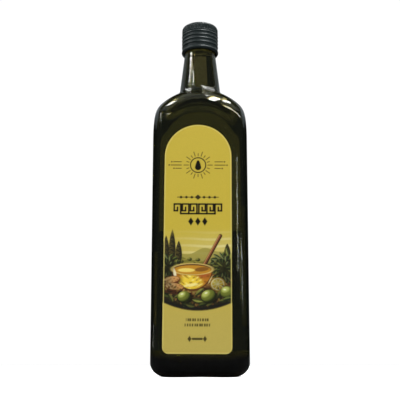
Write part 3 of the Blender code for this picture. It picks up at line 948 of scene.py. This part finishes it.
def oil_material():
    """Greenish gold olive oil, which darkens with depth."""
    material, tree, shader, place = new_material(
        "golden_oil", (1.0, 0.98, 0.85), 0.0, {"Transmission Weight": 1.0, "IOR": 1.47})
    swirl = noise_node(tree, 30.0, 2.0, place)
    rough = range_node(tree, swirl, 0.3, 0.7, 0.0, 0.02)
    tree.links.new(rough, shader.inputs["Roughness"])
    add_absorption(tree, OIL_THROUGH, OIL_DEPTH)
    return material


def lacquer_material():
    """Black lacquered aluminium: soft sheen, fine roll marks round it and slight smudges."""
    material, tree, shader, place = new_material(
        "cap_lacquer", srgb(24, 32, 33), 0.34,
        {"Coat Weight": 0.3, "Coat Roughness": 0.35, "Metallic": 0.35})
    add_handling(tree, shader, place, 0.42, 0.54)
    stretch = new_node(tree, "Mapping", {"Scale": (1.0, 1.0, 14.0), "Vector": place}).outputs["Vector"]
    marks = noise_node(tree, 160.0, 2.0, stretch)
    tint = colour_mix(tree, marks, srgb(20, 29, 30), srgb(31, 42, 43))
    tree.links.new(tint, shader.inputs["Base Color"])
    add_ripple(tree, shader, stretch, 90.0, 0.12)
    return material


def label_material():
    """Printed label paper: inks from the print attribute, a satin face and fine paper grain."""
    material, tree, shader, place = new_material(
        "printed_paper", LABEL_YELLOW, 0.5,
        {"Coat Weight": 0.04, "Coat Roughness": 0.35, "Specular IOR Level": 0.22})
    print_node = tree.nodes.new("ShaderNodeAttribute")
    print_node.attribute_name = "print"
    grain = noise_node(tree, 1500.0, 3.0, place)
    shade = range_node(tree, grain, 0.3, 0.7, 0.96, 1.03)
    toned = tree.nodes.new("ShaderNodeVectorMath")
    toned.operation = "SCALE"
    set_sockets(tree, toned, {0: print_node.outputs["Color"], "Scale": shade})
    tree.links.new(toned.outputs["Vector"], shader.inputs["Base Color"])
    add_handling(tree, shader, place, 0.46, 0.6)
    add_ripple(tree, shader, place, 900.0, 0.06)
    return material


# Room

def direction(azimuth, elevation):
    """The way from the bottle to a place in the room. Azimuth 0 is in front of it, 90 to the right."""
    turn = math.radians(azimuth)
    lift = math.radians(elevation)
    return Vector((math.sin(turn) * math.cos(lift), -math.cos(turn) * math.cos(lift), math.sin(lift)))


def make_lamp(
        name, start, end, width, radiance, colour=WHITE, aim=0.23, distance=3.0, in_gloss=True):
    """A flat strip of light seen from the bottle between two directions, facing it.

    start and end are (azimuth, elevation), width is in degrees across the strip, and aim is the
    height on the bottle that the directions are taken from.
    """
    first = direction(*start) * distance
    last = direction(*end) * distance
    middle = (first + last) / 2
    along = (last - first).normalized()
    back = middle - along * middle.dot(along)
    back.normalize()
    side = back.cross(along)
    light = bpy.data.lights.new(name, "AREA")
    light.shape = "RECTANGLE"
    light.size = (last - first).length
    light.size_y = 2 * distance * math.tan(math.radians(width / 2))
    light.energy = radiance * math.pi * light.size * light.size_y
    light.color = colour
    lamp = bpy.data.objects.new(name, light)
    turn = Matrix((along, side, back)).transposed()
    lamp.matrix_world = Matrix.Translation(middle + Vector((0.0, 0.0, aim))) @ turn.to_4x4()
    lamp.visible_camera = False
    lamp.visible_glossy = in_gloss
    lamp.visible_transmission = in_gloss
    bpy.context.scene.collection.objects.link(lamp)


def make_lamps():
    """A soft fill from the front, a pale ceiling and walls, and small lamps at both sides.

    Only the fill is missing from mirrors and from what shines through the glass.
    """
    cool = (0.86, 0.97, 1.0)
    warm = (1.0, 0.97, 0.85)
    violet = (1.0, 0.97, 1.3)
    near = {"aim": 0.2, "distance": 0.5}
    make_lamp("front_fill", (-35.0, 30.0), (35.0, 30.0), 40.0, 2.98, aim=0.15, in_gloss=False)
    make_lamp("ceiling", (0.0, 66.0), (180.0, 55.0), 70.0, 0.22, cool)
    make_lamp("wall_left", (-104.0, 29.0), (-165.0, 29.0), 13.0, 0.36, cool)
    make_lamp("wall_right", (104.0, 29.0), (165.0, 29.0), 13.0, 0.38, cool)
    make_lamp("wall_back", (180.0, 0.5), (180.0, 17.0), 11.5, 0.15, warm, **near)
    make_lamp("wall_back_left", (166.0, -16.0), (166.0, -3.0), 10.0, 0.1, warm, **near)
    make_lamp("wall_back_right", (192.5, -16.0), (192.5, 5.0), 13.0, 0.07, warm, **near)
    make_lamp("wall_back_high", (166.0, 21.4), (194.0, 21.4), 8.6, 0.18, violet, **near)
    make_lamp("left_strip_far", (-70.0, 31.5), (-70.0, 36.0), 2.2, 95.0)
    make_lamp("left_strip_near", (-45.0, 32.6), (-45.0, 36.0), 1.4, 85.0)
    make_lamp("left_tube", (-42.0, 38.5), (-28.0, 39.5), 2.0, 8.0)
    make_lamp("left_bar", (-99.0, 65.0), (-139.0, 51.0), 6.0, 9.0)
    make_lamp("left_bar_low", (-112.0, 43.0), (-92.0, 37.0), 2.5, 6.0)
    make_lamp("top_lamp", (118.0, 80.0), (150.0, 82.0), 4.0, 12.0)
    make_lamp("right_bar", (18.8, 60.2), (102.0, 73.6), 6.4, 30.0)
    make_lamp("right_bar_far", (82.4, 67.8), (144.9, 50.6), 3.4, 12.0)
    make_lamp("right_tube", (35.0, 52.0), (71.0, 53.0), 3.5, 12.0)
    make_lamp("right_tube_low", (74.0, 50.0), (100.0, 39.0), 3.0, 8.0)
    make_lamp("right_strip", (27.5, 6.4), (27.5, 17.0), 2.0, 17.0, cool, aim=0.11)
    make_lamp("right_side", (64.0, 4.0), (58.0, 10.0), 2.5, 8.0, cool, aim=0.08)
    make_lamp("left_low", (-101.0, 0.6), (-101.0, 3.4), 1.5, 14.0, aim=0.02)


def make_world():
    """A dim grey room, darker behind the bottle than before it, that looks white to the camera."""
    world = bpy.data.worlds.new("studio")
    bpy.context.scene.world = world
    world.use_nodes = True
    tree = world.node_tree
    backdrop = tree.nodes["Background"]
    way = tree.nodes.new("ShaderNodeTexCoord").outputs["Generated"]
    axes = new_node(tree, "SeparateXYZ", {"Vector": way})
    room = range_node(tree, axes.outputs["Y"], -0.3, 0.6, ROOM_FRONT, ROOM_BEHIND)
    ray = tree.nodes.new("ShaderNodeLightPath").outputs["Is Camera Ray"]
    strength = new_node(tree, "Mix", {"Factor": ray, "A": room, "B": BACKDROP_WHITE})
    set_sockets(tree, backdrop, {
        "Strength": strength.outputs["Result"], "Color": colour_mix(tree, ray, ROOM_TINT, WHITE)})


def make_floor():
    """A plain floor, white to the camera. In the glass it is dim, with a darker strip behind: painted shade
    that the neck below the cap shows as the cap's shadow.
    """
    corners = FLOOR_REACH * np.array([(-1, -1, 0), (1, -1, 0), (1, 1, 0), (-1, 1, 0)])
    floor = new_piece("floor", corners, [(0, 1, 2, 3)], smooth=False)
    floor.location.z = -FLOOR_DROP
    material = bpy.data.materials.new("pale_floor")
    material.use_nodes = True
    tree = material.node_tree
    place = tree.nodes.new("ShaderNodeTexCoord").outputs["Object"]
    axes = new_node(tree, "SeparateXYZ", {"Vector": place})
    # Painted shade: the floor's tone in the glass, with a darker strip that stands in for the cap's shadow
    # on the neck
    shade = new_node(tree, "ValToRGB", {"Fac": axes.outputs["Y"]})
    stops = shade.color_ramp.elements
    for behind, _ in FLOOR_TONES_AND_SHADE_STRIP[2:]:
        stops.new(behind)
    in_order = sorted(stops, key=lambda stop: stop.position)
    for stop, (behind, tone) in zip(in_order, FLOOR_TONES_AND_SHADE_STRIP):
        stop.position = behind
        stop.color = (tone, tone, tone, 1.0)
    ray = tree.nodes.new("ShaderNodeLightPath").outputs["Is Camera Ray"]
    seen = new_node(tree, "Mix", {"Factor": ray, "A": shade.outputs["Color"], "B": FLOOR_WHITE})
    set_sockets(tree, tree.nodes["Principled BSDF"], {
        "Roughness": 0.9, "Specular IOR Level": 0.0, "Base Color": seen.outputs["Result"],
        "Emission Strength": range_node(tree, ray, 0.0, 1.0, 0.0, FLOOR_GLOW),
        "Emission Color": (*WHITE, 1.0)})
    floor.data.materials.append(material)


def make_camera():
    """The photo's view: close, low and pitched up a little."""
    data = bpy.data.cameras.new("camera")
    data.lens = FOCAL_PIXELS / IMAGE_PIXELS * data.sensor_width
    data.shift_y = (OPTICAL_ROW - IMAGE_PIXELS / 2) / IMAGE_PIXELS
    camera = bpy.data.objects.new("camera", data)
    camera.location = (0.0, -CAMERA_BACK, CAMERA_HEIGHT)
    camera.rotation_euler = (math.pi / 2 + CAMERA_PITCH, 0.0, 0.0)
    data.clip_start = 10.0 * MM
    bpy.context.scene.collection.objects.link(camera)
    bpy.context.scene.camera = camera


def finish_piece(piece, material, node):
    """Gives a piece its material, and lets it stand for a CAD node."""
    piece.data.materials.append(material)
    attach(piece, "root")
    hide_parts(node)


lacquer = lacquer_material()
finish_piece(make_glass(), glass_material(), "glass_bottle")
finish_piece(make_oil(), oil_material(), "olive_oil")
finish_piece(make_cap(), lacquer, "screw_cap")
finish_piece(make_band(), lacquer, "tamper_band")
finish_piece(make_label(), label_material(), "front_label")

make_camera()
make_world()
make_floor()
make_lamps()

bpy.context.scene.view_settings.view_transform = "Standard"
bpy.context.view_layer.update()
